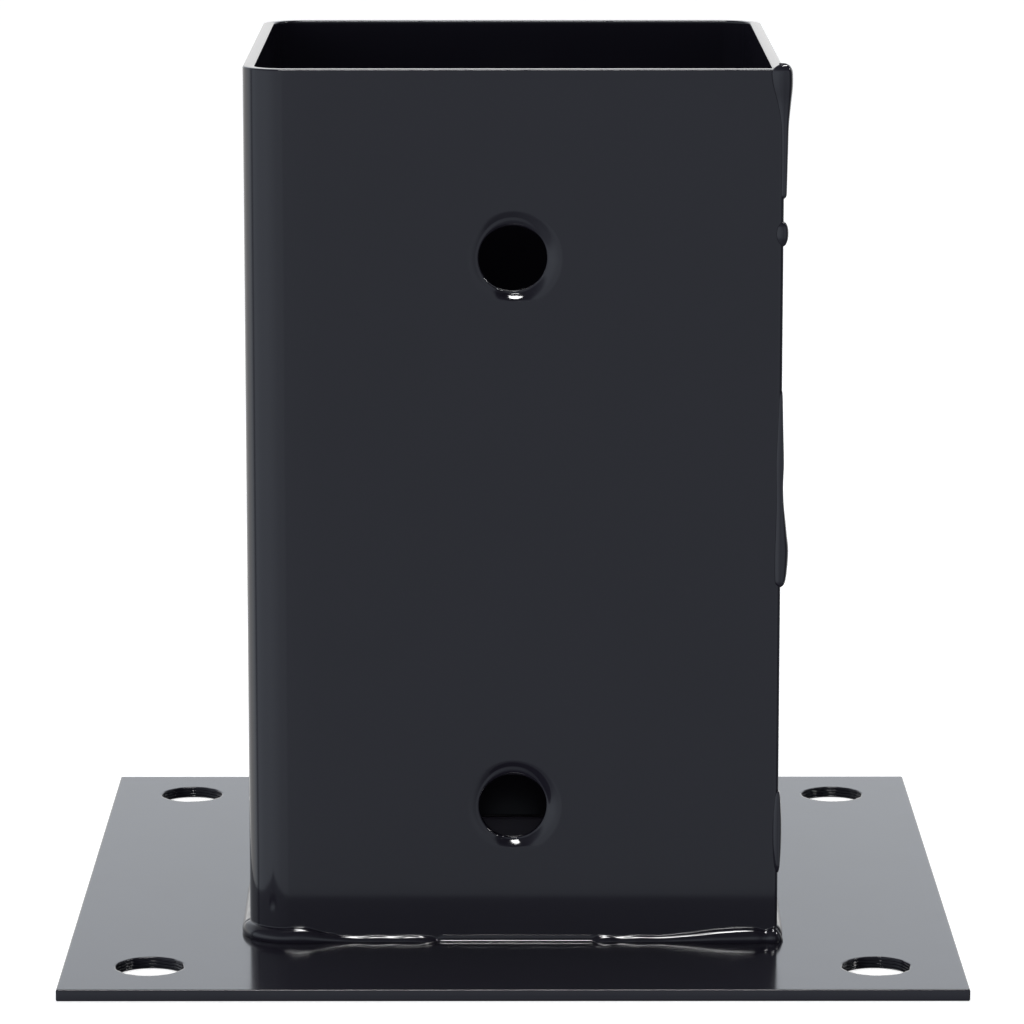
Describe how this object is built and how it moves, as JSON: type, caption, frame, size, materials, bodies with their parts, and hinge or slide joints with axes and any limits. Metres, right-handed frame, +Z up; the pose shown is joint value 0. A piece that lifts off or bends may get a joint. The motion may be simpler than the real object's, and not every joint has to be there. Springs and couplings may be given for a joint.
{
  "type": "bolt-down post anchor",
  "caption": "Square open-topped sheet steel post sleeve welded on a flat square base plate with corner bolt holes and cross-bolt holes, coated gloss black.",
  "frame": {"origin": "centre of the base plate's underside, on the ground plane", "axes": "+Z up along the sleeve and the post; -Y is the front panel with the bolt holes; +X is to the right seen from the front, on the side of the welded seam corner"},
  "size_m": [0.15, 0.15, 0.151],
  "materials": {
    "plate_coating": "gloss anthracite black powder coat",
    "sleeve_coating": "gloss anthracite black powder coat",
    "weld_coating": "gloss anthracite black powder coat over rippled weld metal"
  },
  "bodies": {
    "root": {"base_plate": "plate_coating", "post_sleeve": "sleeve_coating", "seam_weld_top": "weld_coating", "seam_weld_spot": "weld_coating", "seam_weld_middle": "weld_coating", "seam_weld_lower": "weld_coating", "base_weld_front_left": "weld_coating", "base_weld_front_middle": "weld_coating", "base_weld_front_right": "weld_coating", "base_weld_left": "weld_coating", "base_weld_right": "weld_coating", "base_weld_back": "weld_coating"}
  },
  "joints": []
}
